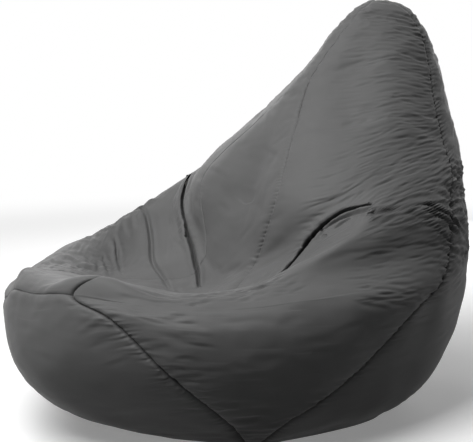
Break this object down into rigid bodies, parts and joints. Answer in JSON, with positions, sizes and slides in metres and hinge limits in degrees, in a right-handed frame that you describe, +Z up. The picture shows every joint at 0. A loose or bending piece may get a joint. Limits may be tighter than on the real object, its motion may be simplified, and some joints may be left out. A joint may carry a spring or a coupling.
{
  "type": "bean bag chair",
  "caption": "High-back bean bag chair: a sewn teardrop bag with a pressed-in seat, raised arms, a rear zip, an inner liner and bead filling.",
  "frame": {"origin": "on the floor, under the middle of the chair's width and depth", "axes": "+Z up, -Y the way the sitter faces, +X to the sitter's left"},
  "size_m": [0.8696, 1.1148, 0.8734],
  "materials": {
    "cover_cloth": "satin",
    "base_cloth": "matte",
    "zip_tape": "matte",
    "zip_coil": "satin",
    "zip_metal": "satin",
    "liner_cloth": "matte",
    "touch_tape": "matte",
    "bead_fill": "matte"
  },
  "bodies": {
    "bag": {"front_panel": "cover_cloth", "seat_back_panel": "cover_cloth", "side_panel_left": "cover_cloth", "side_panel_right": "cover_cloth", "rear_panel_left": "cover_cloth", "rear_panel_right": "cover_cloth", "base_panel": "base_cloth", "zip_tape_left": "zip_tape", "zip_tape_right": "zip_tape", "zip_coil_left": "zip_coil", "zip_coil_right": "zip_coil", "zip_top_stop": "zip_metal", "zip_bottom_stop": "zip_metal", "inner_liner": "liner_cloth", "liner_loop_strip": "touch_tape", "liner_hook_strip": "touch_tape", "bean_fill": "bead_fill"},
    "slider": {"zip_slider": "zip_metal"}
  },
  "joints": [
    {"name": "zip_slide", "type": "hinge", "parent": "bag", "child": "slider", "pos_m": [0, 0.15774, 0.375], "axis": [-1, 0, 0], "range_deg": [0, 49.8]}
  ]
}
